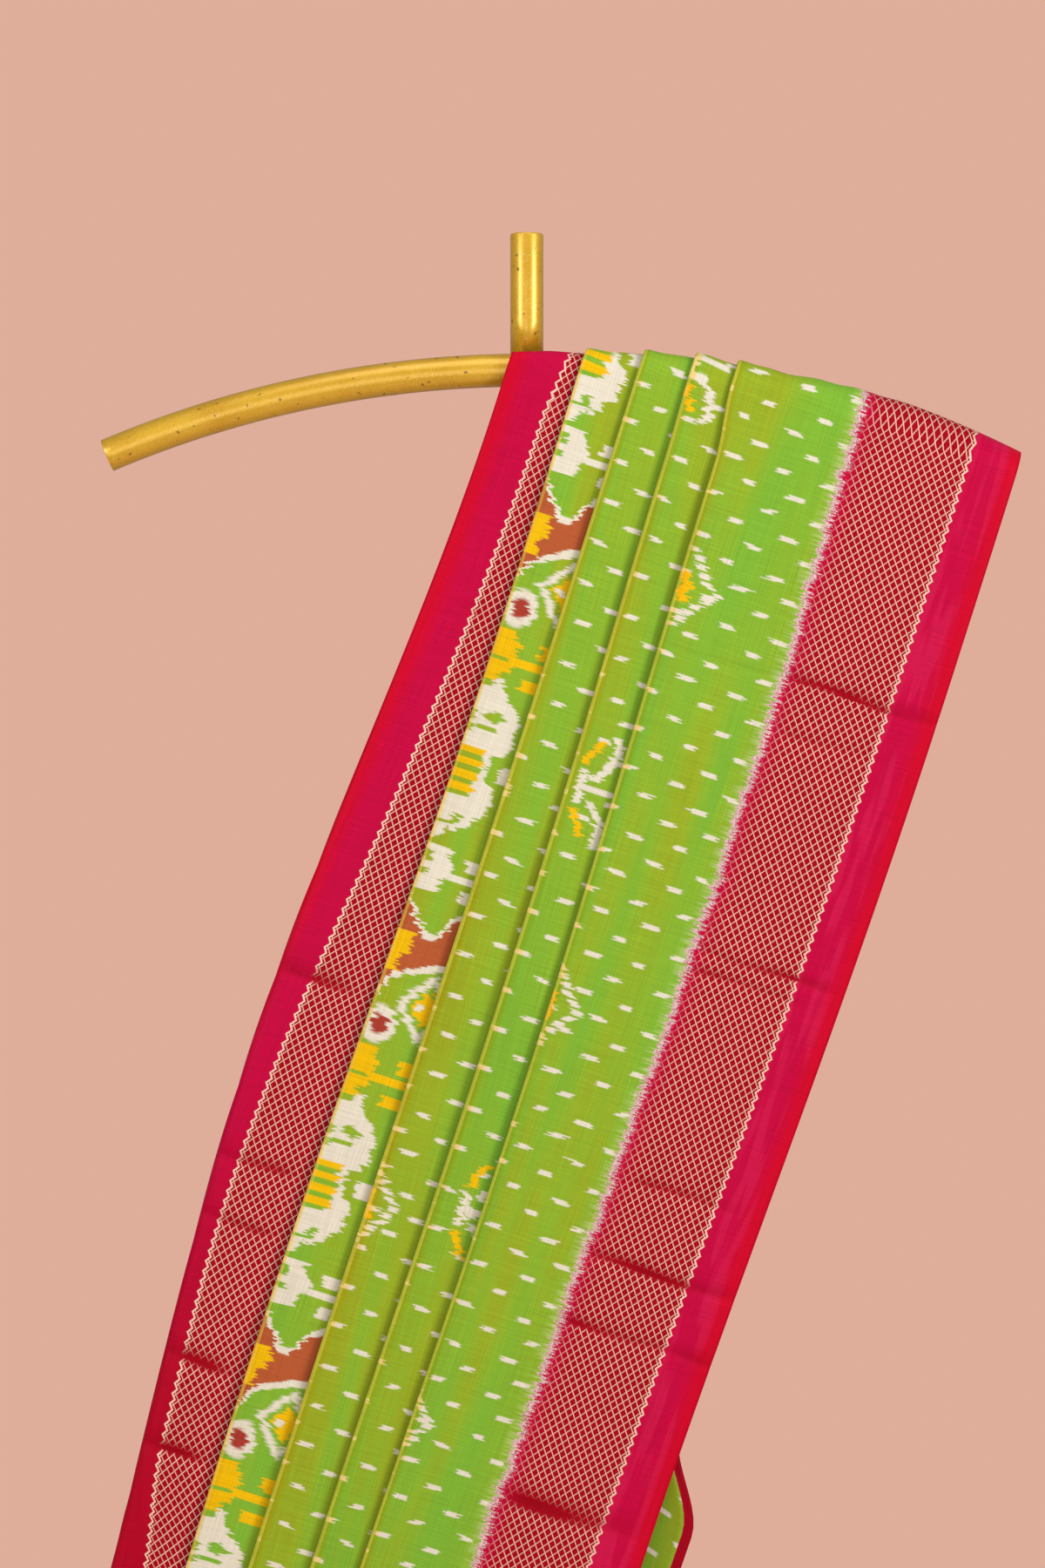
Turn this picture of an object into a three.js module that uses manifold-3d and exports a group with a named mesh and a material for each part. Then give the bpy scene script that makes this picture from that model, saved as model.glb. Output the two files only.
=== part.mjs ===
// A length of pleated ikat silk hung over one arm of a bent tube bar with a short upright.
// Millimetres, +Z up, +X to the right seen from the front, the front towards -Y.
// The origin is the centre of the upright's flat top.
import * as THREE from "three";
import { mergeVertices } from "three/addons/utils/BufferGeometryUtils.js";
import Module from "manifold-3d";

// Hanger tubes
const TUBE_RADIUS = 13;
const TUBE_WALL = 1.5;
const TUBE_SIDES = 20;
const BAR_ARC_RADIUS = 845;
const BAR_HALF_ANGLE = THREE.MathUtils.degToRad(23);
const BAR_STEPS = 24;
const BAR_CROWN_Z = -107;
const UPRIGHT_TOP_THICKNESS = 3;
const WELD_GAP = 0.3;

// Cloth and its layers
const CLOTH_THICKNESS = 1;
const LAYER_PITCH = 1.4;
const BAR_TO_CLOTH = 0.8;
const FALL_LEAN = THREE.MathUtils.degToRad(18);
const FRONT_FALL = 1060;
const BACK_FALL = 1010;
const FALL_WAVE = 1120;
const SPREAD_FALL = 50;
const FLARE_START = 765;
const FLARE_END = 840;

// Fold shapes: raised lip at each pleat, and the slope where a tuck ends underneath
const LIP_HEIGHT = 4;
const LIP_REACH = 18;
const LIP_PRESS_ON_BAR = 0.4;
const UNDER_LIP_SHARE = 0.25;
const TUCK_SLOPE = 24;
const TUCK_MARGIN = 1;

// Right end, where the stiff border stands off the bar and past its end
const STAND_OFF = 12.5;
const STAND_OFF_START = 170;
const STAND_OFF_END = 300;
const STAND_OFF_SHARE = 0.4;

// Left end, where the border bulges past the front of the upright and gathers beside it
const BULGE = 5;
const BULGE_FROM = 38;
const BULGE_FULL = 6;
const BULGE_FALL = 120;
const BULGE_SQUARENESS = 2;
const GATHER_SOFTNESS = 7;
const GATHER_RELEASE = 280;
const NO_GATHER = -80;

// Left edge of the front fall, which curls back further down
const CURL_DEPTH = 8;
const CURL_REACH = 26;
const CURL_START = 250;
const CURL_FULL = 620;

// Lines down the cloth, placed across the fall from the upright's axis.
// atBar: place on the bar. spread: shift just below it. drift: shift per millimetre of front fall.
// swell: bow at mid-fall. sway: S-shaped bend. backDrift and backFlare: shift on the back fall.
// tuck: cloth folded under.
const LEFT = { atBar: -15, spread: 0, drift: 0, swell: -27, sway: 2.5, backDrift: 0.004, backFlare: 0 };
const PLEATS = [
  { atBar: 39.5, spread: 0, drift: 0, swell: -2.5, sway: 4, backDrift: -0.008, backFlare: 3, tuck: 92 },
  { atBar: 83.5, spread: 0, drift: 0, swell: 0.6, sway: 1.2, backDrift: -0.01, backFlare: 5, tuck: 92 },
  { atBar: 122.5, spread: 1, drift: 0.006, swell: 5, sway: 2, backDrift: -0.012, backFlare: 9, tuck: 92 },
  { atBar: 156, spread: 6, drift: 0.003, swell: 7, sway: 1, backDrift: -0.014, backFlare: 14, tuck: 92 },
];
const RIGHT = { atBar: 389, spread: 0, drift: -0.011, swell: 0, sway: 4.5, backDrift: -0.02, backFlare: 36 };
const LINES = [LEFT, ...PLEATS, RIGHT];

// Rows across the cloth, from the front hem over the bar to the back hem.
// share: part of the fall below the bar. angle: degrees round the bar from its front.
// gather: the line beside the upright that the border stays to the right of.
const FRONT_SHARES = [1, 0.89, 0.78, 0.67, 0.56, 0.45, 0.34, 0.23, 0.12, 0.045];
const BAR_ROWS = [
  { angle: 0, gather: NO_GATHER },
  { angle: 24, gather: NO_GATHER },
  { angle: 45, gather: NO_GATHER },
  { angle: 60, gather: 5 },
  { angle: 75, gather: 10 },
  { angle: 90, gather: 13 },
  { angle: 113, gather: 13 },
  { angle: 136, gather: 13 },
  { angle: 158, gather: 12 },
  { angle: 180, gather: 10 },
];
const BACK_SHARES = [0.045, 0.13, 0.25, 0.45, 0.65, 0.757, 0.795, 0.832, 1];

// Points across the cloth: on the left border, on the wide right panel, and round each fold
const BORDER_SHARES = [0, 0.16, 0.32, 0.48, 0.64, 0.8, 1];
const WIDE_PANEL_SHARES = [0.25, 0.5, 0.7, 0.85, 1];
const FOLD_ANGLES = [-45, 0, 45];

const GOLD_PAINT = new THREE.MeshStandardMaterial({ color: 0xcda014, roughness: 0.42, metalness: 0.55 });
const IKAT_SILK = new THREE.MeshStandardMaterial({ color: 0x7fb23a, roughness: 0.6, metalness: 0 });

const leanSine = Math.sin(FALL_LEAN);
const leanCosine = Math.cos(FALL_LEAN);

function ease(value) {
  const t = THREE.MathUtils.clamp(value, 0, 1);
  return t * t * (3 - 2 * t);
}

// Bar and upright

class BarAxis extends THREE.Curve {
  getPoint(t, target = new THREE.Vector3()) {
    const angle = (2 * t - 1) * BAR_HALF_ANGLE;
    const drop = BAR_ARC_RADIUS * (1 - Math.cos(angle));
    return target.set(BAR_ARC_RADIUS * Math.sin(angle), 0, BAR_CROWN_Z - drop);
  }
}

function sweptAlongBar(radius, boreRadius) {
  const section = new THREE.Shape().absarc(0, 0, radius, 0, 2 * Math.PI);
  if (boreRadius > 0) {
    section.holes.push(new THREE.Path().absarc(0, 0, boreRadius, 0, 2 * Math.PI));
  }
  return new THREE.ExtrudeGeometry(section, {
    steps: BAR_STEPS,
    curveSegments: TUBE_SIDES / 2,
    extrudePath: new BarAxis(),
  });
}

function uprightRod(radius, bottom, top) {
  const rod = new THREE.CylinderGeometry(radius, radius, top - bottom, TUBE_SIDES);
  rod.rotateX(Math.PI / 2);
  rod.translate(0, 0, (top + bottom) / 2);
  return rod;
}

const wasm = await Module();
wasm.setup();

function toSolid(geometry) {
  const bare = geometry.clone();
  bare.deleteAttribute("normal");
  bare.deleteAttribute("uv");
  const merged = mergeVertices(bare, 1e-4);
  return new wasm.Manifold(new wasm.Mesh({
    numProp: 3,
    vertProperties: new Float32Array(merged.attributes.position.array),
    triVerts: new Uint32Array(merged.index.array),
  }));
}

function toGeometry(solid) {
  const mesh = solid.getMesh();
  const geometry = new THREE.BufferGeometry();
  geometry.setAttribute("position", new THREE.BufferAttribute(mesh.vertProperties, 3));
  geometry.setIndex(new THREE.BufferAttribute(mesh.triVerts, 1));
  geometry.computeVertexNormals();
  return geometry;
}

// The upright is closed at its top and cut to a saddle where it is welded on the bar
function uprightGeometry() {
  const boreBottom = BAR_CROWN_Z - TUBE_RADIUS;
  const outside = toSolid(uprightRod(TUBE_RADIUS, BAR_CROWN_Z, 0));
  const bore = toSolid(uprightRod(TUBE_RADIUS - TUBE_WALL, boreBottom, -UPRIGHT_TOP_THICKNESS));
  const saddle = toSolid(sweptAlongBar(TUBE_RADIUS + WELD_GAP, 0));
  return toGeometry(outside.subtract(bore).subtract(saddle));
}

// Cloth: one section of pleats, carried along the fall

// Place along the fall of the bar's axis, where the line at this place across meets it
function barPlace(across) {
  const sine = across / BAR_ARC_RADIUS - leanSine;
  return BAR_ARC_RADIUS * (leanCosine - Math.sqrt(1 - sine * sine));
}

// The fall crosses the bar at a slant, so its path over the bar is a little higher than a circle
function slantFactor(across) {
  const sine = across / BAR_ARC_RADIUS - leanSine;
  return 1 / Math.sqrt(1 - sine * sine);
}

function frontLine(line, fall) {
  const wave = (2 * Math.PI * fall) / FALL_WAVE;
  const bow = 0.5 * (1 - Math.cos(wave));
  const top = line.atBar + line.spread * ease(fall / SPREAD_FALL);
  return top + line.drift * fall + line.swell * bow + line.sway * Math.sin(wave);
}

function backLine(line, fall) {
  const flare = ease((fall - FLARE_START) / (FLARE_END - FLARE_START));
  return line.atBar + line.backDrift * fall + line.backFlare * flare;
}

// Moves a place across at the bar to where the lines on both sides of it run on this row
function followLines(across, places) {
  let i = 0;
  while (i < LINES.length - 2 && across > LINES[i + 1].atBar) i += 1;
  const from = LINES[i].atBar;
  const share = (across - from) / (LINES[i + 1].atBar - from);
  return places[i] + share * (places[i + 1] - places[i]);
}

// How far the layers above a pleat's tuck are still lifted by it, from 1 down to 0
function tuckLift(pleat, across) {
  const slopeStart = pleat.atBar + pleat.tuck + TUCK_MARGIN;
  return THREE.MathUtils.clamp(1 - (across - slopeStart) / TUCK_SLOPE, 0, 1);
}

function layerHeight(pleatsBelow, across) {
  const lifts = PLEATS.slice(0, pleatsBelow).map((pleat) => tuckLift(pleat, across));
  return lifts.reduce((sum, lift) => sum + 2 * LAYER_PITCH * lift, 0);
}

function lipRise(pleat, across) {
  const left = THREE.MathUtils.clamp(1 - (across - pleat.atBar) / LIP_REACH, 0, 1);
  return LIP_HEIGHT * left * left;
}

// Places where a layer's slope changes, so that layers on each other bend together,
// and two between the first pleat and its tuck's end, where the layers follow the bar's arch
function slopeBreaks(pleatsBelow, from, to) {
  const starts = PLEATS.slice(0, pleatsBelow).map((pleat) => pleat.atBar + pleat.tuck + TUCK_MARGIN);
  const slopes = starts.flatMap((start) => [start, start + TUCK_SLOPE]);
  const arch = [1 / 3, 2 / 3].map((share) => PLEATS[0].atBar + share * PLEATS[0].tuck);
  return [...arch, ...slopes].filter((across) => across > from && across < to).sort((a, b) => a - b);
}

// A fold's round edge from one layer to the next, bulging left (-1) or right (+1)
function foldEdge(across, lower, upper, side) {
  const radius = (upper.height + upper.lip - lower.height - lower.lip) / 2;
  const middle = (upper.height + lower.height) / 2;
  const lip = (upper.lip + lower.lip) / 2;
  return FOLD_ANGLES.map((degrees) => {
    const angle = THREE.MathUtils.degToRad(degrees);
    const lipShare = (upper.lip - lower.lip) / 2;
    return {
      across: across + side * radius * (Math.cos(angle) - 1),
      height: middle + ((upper.height - lower.height) / 2) * Math.sin(angle),
      lip: lip + lipShare * Math.sin(angle),
    };
  });
}

// The cloth's middle surface across the bundle: border, then tuck and panel for each pleat
function pleatSection() {
  const points = [];
  const flat = (across, height, lip = 0) => points.push({ across, height, lip });
  const borderWidth = PLEATS[0].atBar - LEFT.atBar;
  BORDER_SHARES.forEach((share) => flat(LEFT.atBar + share * borderWidth, 0));
  slopeBreaks(0, PLEATS[0].atBar, PLEATS[0].atBar + PLEATS[0].tuck).forEach((across) => flat(across, 0));
  PLEATS.forEach((pleat, index) => {
    const tuckEnd = pleat.atBar + pleat.tuck;
    const innerRadius = LAYER_PITCH / 2;
    const below = layerHeight(index, tuckEnd);
    const lowerEnd = { height: below, lip: 0 };
    const upperEnd = { height: below + LAYER_PITCH, lip: 0 };
    flat(tuckEnd - innerRadius, below);
    points.push(...foldEdge(tuckEnd, lowerEnd, upperEnd, 1));
    flat(tuckEnd - innerRadius, below + LAYER_PITCH);

    const underLip = (across) => UNDER_LIP_SHARE * lipRise(pleat, across);
    const base = layerHeight(index, pleat.atBar);
    const under = { height: base + LAYER_PITCH, lip: underLip(pleat.atBar) };
    const over = { height: base + 2 * LAYER_PITCH, lip: lipRise(pleat, pleat.atBar) };
    const lipRadius = (over.height + over.lip - under.height - under.lip) / 2;
    const lipPlaces = [pleat.atBar + LIP_REACH / 2, pleat.atBar + LIP_REACH];
    const tuckPlaces = [
      ...lipPlaces,
      ...slopeBreaks(index, pleat.atBar + LIP_REACH, tuckEnd - innerRadius),
    ];
    tuckPlaces.reverse().forEach((across) => {
      flat(across, layerHeight(index, across) + LAYER_PITCH, underLip(across));
    });
    flat(pleat.atBar + lipRadius, under.height, under.lip);
    points.push(...foldEdge(pleat.atBar, under, over, -1));
    flat(pleat.atBar + lipRadius, over.height, over.lip);

    const next = PLEATS[index + 1];
    const panelEnd = next ? next.atBar + next.tuck : RIGHT.atBar;
    lipPlaces.forEach((across) => {
      flat(across, layerHeight(index + 1, across), lipRise(pleat, across));
    });
    slopeBreaks(index + 1, pleat.atBar + LIP_REACH, panelEnd).forEach((across) => {
      flat(across, layerHeight(index + 1, across));
    });
  });
  const lastSlope = points.at(-1).across;
  WIDE_PANEL_SHARES.forEach((share) => {
    flat(lastSlope + share * (RIGHT.atBar - lastSlope), 0);
  });
  return points;
}

// Both faces of the sheet: half the thickness to each side of the middle surface
function offsetFace(points, lipShare, side) {
  const flatPoint = (point) => new THREE.Vector2(point.across, point.height + lipShare * point.lip);
  return points.map((point, i) => {
    const here = flatPoint(point);
    const before = i > 0 ? here.clone().sub(flatPoint(points[i - 1])).normalize() : null;
    const after = i < points.length - 1 ? flatPoint(points[i + 1]).sub(here).normalize() : null;
    const along = (before ?? after).clone().add(after ?? before).normalize();
    const miter = Math.max(0.5, along.dot(after ?? before));
    const normal = new THREE.Vector2(-along.y, along.x);
    return here.addScaledVector(normal, (side * CLOTH_THICKNESS) / 2 / miter);
  });
}

function gathered(across, line) {
  return line + GATHER_SOFTNESS * Math.log1p(Math.exp((across - line) / GATHER_SOFTNESS));
}

function standOff(across) {
  return STAND_OFF * ease((across - STAND_OFF_START) / (STAND_OFF_END - STAND_OFF_START));
}

function bulgeShare(across) {
  return ease((BULGE_FROM - across) / (BULGE_FROM - BULGE_FULL));
}

// From across the fall, along the fall and front to back, to the part's own axes
function fromFall(across, along, depth) {
  return new THREE.Vector3(
    across * leanCosine - along * leanSine,
    depth,
    BAR_CROWN_Z - across * leanSine - along * leanCosine,
  );
}

const clothSeat = TUBE_RADIUS + BAR_TO_CLOTH + CLOTH_THICKNESS / 2;

function frontPoint(across, height, share, leftEdge) {
  const start = barPlace(across);
  const along = start + share * (FRONT_FALL - start);
  const bulge = BULGE * bulgeShare(across) * (1 - ease((along - start) / BULGE_FALL));
  const easing = 1 - ease(share / STAND_OFF_SHARE);
  const fromEdge = THREE.MathUtils.clamp(1 - (across - leftEdge) / CURL_REACH, 0, 1);
  const curl = CURL_DEPTH * fromEdge * fromEdge * ease((along - CURL_START) / (CURL_FULL - CURL_START));
  return fromFall(across, along, -(clothSeat + standOff(across) * easing + bulge + height - curl));
}

function backPoint(across, height, share) {
  const start = barPlace(across);
  const along = start + share * (BACK_FALL - start);
  const easing = 1 - ease(share / STAND_OFF_SHARE);
  return fromFall(across, along, clothSeat + standOff(across) * easing + height);
}

// Over the bar the path is an ellipse, squarer where it stands in front of the upright
function barPoint(across, height, angle, gather) {
  const moved = gathered(across, gather);
  const front = angle < 90;
  const bulge = front ? bulgeShare(across) : 0;
  const power = 2 / (2 + BULGE_SQUARENESS * bulge);
  const turn = THREE.MathUtils.degToRad(angle);
  const cosine = Math.sign(Math.cos(turn)) * Math.abs(Math.cos(turn)) ** power;
  const rise = Math.sin(turn) ** power;
  const off = standOff(across) + height;
  const depth = clothSeat + off + BULGE * bulge;
  const up = clothSeat * slantFactor(moved) + off;
  return fromFall(moved, barPlace(moved) - up * rise, -depth * cosine);
}

function clothRows() {
  const section = pleatSection();
  const faces = [0, 1].map((side) => ({
    onFall: offsetFace(section, 1, 2 * side - 1),
    onBar: offsetFace(section, LIP_PRESS_ON_BAR, 2 * side - 1),
  }));
  const front = FRONT_SHARES.map((share) => {
    const places = LINES.map((line) => frontLine(line, share * FRONT_FALL));
    return faces.map((face) => face.onFall.map((point) => {
      return frontPoint(followLines(point.x, places), point.y, share, places[0]);
    }));
  });
  const over = BAR_ROWS.map((row) => faces.map((face) => face.onBar.map((point) => {
    return barPoint(point.x, point.y, row.angle, row.gather);
  })));
  const back = BACK_SHARES.map((share) => {
    const places = LINES.map((line) => backLine(line, share * BACK_FALL));
    const release = ease((share * BACK_FALL) / GATHER_RELEASE);
    const gather = THREE.MathUtils.lerp(BAR_ROWS.at(-1).gather, NO_GATHER, release);
    return faces.map((face) => face.onFall.map((point) => {
      return backPoint(gathered(followLines(point.x, places), gather), point.y, share);
    }));
  });
  return [...front, ...over, ...back];
}

function clothGeometry() {
  const rows = clothRows();
  const width = rows[0][0].length;
  const positions = rows.flat(2).flatMap((point) => point.toArray());
  const index = (row, side, i) => (row * 2 + side) * width + i;
  const triangles = [];
  const quad = (a, b, c, d) => triangles.push(a, b, c, a, c, d);
  for (let row = 0; row < rows.length - 1; row += 1) {
    for (let i = 0; i < width - 1; i += 1) {
      quad(index(row, 1, i), index(row, 1, i + 1), index(row + 1, 1, i + 1), index(row + 1, 1, i));
      quad(index(row, 0, i), index(row + 1, 0, i), index(row + 1, 0, i + 1), index(row, 0, i + 1));
    }
    const last = width - 1;
    quad(index(row, 0, 0), index(row, 1, 0), index(row + 1, 1, 0), index(row + 1, 0, 0));
    quad(index(row, 0, last), index(row + 1, 0, last), index(row + 1, 1, last), index(row, 1, last));
  }
  const hem = rows.length - 1;
  for (let i = 0; i < width - 1; i += 1) {
    quad(index(0, 0, i), index(0, 0, i + 1), index(0, 1, i + 1), index(0, 1, i));
    quad(index(hem, 0, i), index(hem, 1, i), index(hem, 1, i + 1), index(hem, 0, i + 1));
  }
  const geometry = new THREE.BufferGeometry();
  geometry.setAttribute("position", new THREE.Float32BufferAttribute(positions, 3));
  geometry.setIndex(triangles);
  geometry.computeVertexNormals();
  return geometry;
}

function named(name, geometry, material) {
  const mesh = new THREE.Mesh(geometry, material);
  mesh.name = name;
  return mesh;
}

const hungIkat = new THREE.Group();
hungIkat.add(named("hanger_bar", sweptAlongBar(TUBE_RADIUS, TUBE_RADIUS - TUBE_WALL), GOLD_PAINT));
hungIkat.add(named("hanger_upright", uprightGeometry(), GOLD_PAINT));
hungIkat.add(named("ikat_cloth", clothGeometry(), IKAT_SILK));

export default hungIkat;
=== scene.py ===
"""A length of pleated ikat silk hung over one arm of a bent, gold-painted tube bar."""
import math

import bpy
import numpy as np
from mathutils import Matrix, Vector


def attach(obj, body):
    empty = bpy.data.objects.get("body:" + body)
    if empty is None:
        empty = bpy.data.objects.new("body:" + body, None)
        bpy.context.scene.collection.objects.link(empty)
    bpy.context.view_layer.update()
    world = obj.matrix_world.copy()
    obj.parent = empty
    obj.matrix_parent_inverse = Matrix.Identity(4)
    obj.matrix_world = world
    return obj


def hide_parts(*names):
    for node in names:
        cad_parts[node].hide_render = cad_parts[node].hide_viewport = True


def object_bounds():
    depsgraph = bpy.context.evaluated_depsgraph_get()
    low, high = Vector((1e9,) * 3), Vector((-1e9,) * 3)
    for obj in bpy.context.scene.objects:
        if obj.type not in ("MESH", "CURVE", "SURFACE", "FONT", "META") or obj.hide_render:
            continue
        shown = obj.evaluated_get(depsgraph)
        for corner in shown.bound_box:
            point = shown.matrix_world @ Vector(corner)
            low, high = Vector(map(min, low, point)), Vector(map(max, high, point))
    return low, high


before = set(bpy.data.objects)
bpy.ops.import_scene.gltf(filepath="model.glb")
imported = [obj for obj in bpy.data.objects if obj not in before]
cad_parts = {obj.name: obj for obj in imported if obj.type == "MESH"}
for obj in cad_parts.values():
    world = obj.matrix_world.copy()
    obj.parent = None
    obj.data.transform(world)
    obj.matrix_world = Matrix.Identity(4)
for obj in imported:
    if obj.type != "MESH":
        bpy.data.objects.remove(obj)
cad_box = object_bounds()

# Sizes below are millimetres and angles degrees. Meshes are written in metres.
MM = 0.001

# Hanger tubes
TUBE_RADIUS = 13
TUBE_WALL = 1.5
BAR_ARC_RADIUS = 845
BAR_HALF_ANGLE = 23
BAR_CROWN_Z = -107
UPRIGHT_TOP_THICKNESS = 3
UPRIGHT_EDGE_ROUND = 1.2
UPRIGHT_EDGE_STEPS = 5
UPRIGHT_RINGS = (-40, -70)
CAP_MIDDLE = 0.02
WELD_GAP = 0.3
TUBE_SIDES = 56
BAR_ARC_STEPS = 97
BAR_EDGE_ROUND = 0.4
BAR_EDGE_STEPS = 2
SHARP_ANGLE = 60

# Cloth and its layers
SILK_THICKNESS = 0.45
LAYER_PITCH = 1.4
CLOTH_SEAT = 14.3
FALL_LEAN = 18
FRONT_FALL = 1060
BACK_FALL = 1010
FALL_WAVE = 1120
FLARE_START = 765
FLARE_END = 840
FLAT_WIDTH = 1140

# Fold shapes
LIP_HEIGHT = 4
LIP_REACH = 18
LIP_PRESS_ON_BAR = 0.4
LIP_FREE_BELOW = 90
LIP_UNEVEN = 0.22
LIP_UNEVEN_WAVE = 83
LIP_UNEVEN_STEP = 2.4
UNDER_LIP_SHARE = 0.25
TUCK = 92
TUCK_SLOPE = 24
TUCK_MARGIN = 1
OPEN = 30

# Points across the cloth: how far from a fold or a cover some lie, and how many lie evenly between
NEAR_COVER = (12, 8, 5, 2.5, 0)
NEAR_FOLD = (2.4, 5, 8, 11.5, 15.5, 20)
NEAR_FOLD_UNDER = (22, 14, 7)
BORDER_STEPS = 14
PANEL_STEPS = 4
WIDE_PANEL_STEPS = 40
TUCK_OUT_STEPS = 6
TUCK_BACK_STEPS = 5
TUCK_TURN_ANGLES = (-45, 0, 45)
FOLD_TURN_STEPS = 9

# Stations on the cloth where the last pleat is covered and folded, and where the back's relief starts
LAST_COVER = 7
LAST_FOLD = 8
BACK_RELIEF = 8.1

# Relief of the hanging cloth, which starts below the bar and fades towards a cover
RELIEF_START = 30
RELIEF_FALL = 90
COVER_FADE_RATE = 3
BILLOW = 0.9
BILLOW_ACROSS = (23, 160)
BILLOW_DOWN = (210, 95)
DRAG = 0.35
DRAG_ACROSS = (31, 57)
DRAG_DOWN = 46

# Right end, where the stiff border stands off the bar and past its end
STAND_OFF = 12.5
STAND_OFF_START = 170
STAND_OFF_END = 300
STAND_OFF_SHARE = 0.4

# Left end, where the border bulges past the upright and gathers beside it
BULGE = 5
BULGE_FROM = 38
BULGE_FULL = 6
BULGE_FALL = 120
BULGE_SQUARENESS = 2
GATHER_SOFTNESS = 7
GATHER_RELEASE = 280
NO_GATHER = -80
GATHER_ANGLES = (0, 45, 60, 75, 90, 136, 158, 180)
GATHER_LINES = (NO_GATHER, NO_GATHER, 5, 10, 13, 13, 12, 10)

# Left edge of the front fall, which rolls under further down
ROLL_RADIUS = 5
LEAST_ROLL_RADIUS = 0.3
ROUNDING_START = 200
ROUNDING_FALL = 350
ROLL_UNDER = 20
ROLL_START = 330
ROLL_FULL = 760
ROLL_RELEASE = (890, 1000, 0.55)
WEFT_WAVE = 22
WEFT_WAVE_REACH = 21
WEFT_WAVE_START = 890
WEFT_WAVE_FALL = 280

# Right edge of the back fall, where the border is folded under low down and only its selvage shows
BORDER_FOLD = 132
SELVAGE_STRIP = 8
SELVAGE_GAP = 0.8
NEAR_SELVAGE = (12, SELVAGE_STRIP, SELVAGE_STRIP - SELVAGE_GAP, SELVAGE_STRIP / 2, 0)
BORDER_FOLD_STEP = 1.6
BORDER_FOLD_REACH = 24
BORDER_FOLD_START = 560
BORDER_FOLD_FULL = 740

# Lines down the cloth: left selvage, four pleats, right selvage.
# Columns: place at the bar, spread below it, drift, swell, sway, drift on the back, flare on the back.
LINES = np.array([
    (-15, 0, 0, -27, 2.5, 0.004, 0),
    (39.5, 0, 0, -2.5, 4, -0.008, 3),
    (83.5, 0, 0, 0.6, 1.2, -0.01, 5),
    (122.5, 1, 0.006, 5, 2, -0.012, 9),
    (156, 6, 0.003, 7, 1, -0.014, 14),
    (389, 0, -0.011, 0, 4.5, -0.02, 36),
])
AT_BAR, SPREAD = LINES[:, :2].T
PLEATS = AT_BAR[1:5]
SPREAD_FALL = 50

# The weave runs a little aslant to each fold: shift of the cloth at the fold for each millimetre down
FOLD_SLIP = (0, -0.06, -0.04, 0.023)

# Rows across the cloth
FRONT_PITCH = 11
BAR_ROWS = 13
BACK_ROWS = 34
FLARE_ROW_PITCH = 7.5
CREASE_ROW_PITCH = 1.7
CREASE_HALFWAY = 0.45
LEAST_ROW_PITCH = 1.6
STRAIGHT_WEFT_BELOW = 120

# Creases across the borders.
# Columns: side, place down the fall, reach above and below it, depth, nearest and farthest
# from the selvage.
CREASES = (
    ("right", 169, 11, 1.6, 2.6, -10, 140),
    ("right", 172, 3, 2.2, 0.9, 118, 300),
    ("right", 209, 9, 4, 0.9, 25, 125),
    ("right", 392, 9, 2.4, 1.8, 0, 130),
    ("right", 408, 8, 3, 1.6, 20, 130),
    ("right", 579, 11, 4, 1.3, 10, 120),
    ("right", 646, 13, 2.4, 2.4, -10, 135),
    ("right", 700, 12, 3, 2.2, -10, 135),
    ("right", 845, 20, 9, 2, 0, 130),
    ("left", 194, 12, 5, 1.6, 20, 140),
    ("left", 507, 17, 4, 2.2, 0, 140),
    ("left", 660, 13, 3, 2.3, 10, 140),
    ("left", 708, 11, 3, 2, 10, 140),
    ("left", 820, 15, 6, 1.8, 10, 140),
    ("left", 894, 14, 2, 3, 15, 140),
)
CREASE_END_SOFTNESS = 22
CREASE_WANDER = 1.2
CREASE_WANDER_WAVE = 17
# How strongly the painted shade in the creases shows, and how it fades in and out along them
CREASE_FULL_DEPTH = 2
CREASE_FADE = 0.28
CREASE_FADE_WAVE = 24
CREASE_FADE_STEP = 1.7

# Camera, from the photograph's scale and where the bar's crown lies in it
PHOTO_SIZE = (1200, 1800)
PHOTO_SCALE = 0.685
CROWN_PIXEL = (605, 425)
CAMERA_DISTANCE = 3000
SENSOR = 36

# Floor and room light
FLOOR_SIDES = 96
FLOOR_RADIUS = 1600
FLOOR_DROP = 200
ROOM_STRENGTH = 0.3

LEAN_SINE = math.sin(math.radians(FALL_LEAN))
LEAN_COSINE = math.cos(math.radians(FALL_LEAN))


def ease(value):
    """A smooth step from 0 to 1."""
    t = np.clip(value, 0, 1)
    return t * t * (3 - 2 * t)


# Cloth

def bar_place(across):
    """Place along the fall of the bar's axis, where the line at this place across meets it."""
    sine = across / BAR_ARC_RADIUS - LEAN_SINE
    return BAR_ARC_RADIUS * (LEAN_COSINE - np.sqrt(1 - sine**2))


def front_lines(fall):
    drift, swell, sway = LINES[:, 2:5].T
    wave = 2 * math.pi * fall / FALL_WAVE
    top = AT_BAR + SPREAD * ease(fall / SPREAD_FALL)
    return top + drift * fall + swell * 0.5 * (1 - math.cos(wave)) + sway * math.sin(wave)


def back_lines(fall):
    drift, flare = LINES[:, 5:].T
    return AT_BAR + drift * fall + flare * ease((fall - FLARE_START) / (FLARE_END - FLARE_START))


def layer_height(pleats_below, across):
    """Height of a layer that lies on this many tucks, each easing off past its end."""
    ends = PLEATS[:pleats_below] + TUCK + TUCK_MARGIN
    lifts = [1 - ease((across - end) / TUCK_SLOPE) for end in ends]
    return 2 * LAYER_PITCH * sum(lifts)


def lip_rise(from_fold):
    return LIP_HEIGHT * (1 - ease(from_fold / LIP_REACH))


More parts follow.
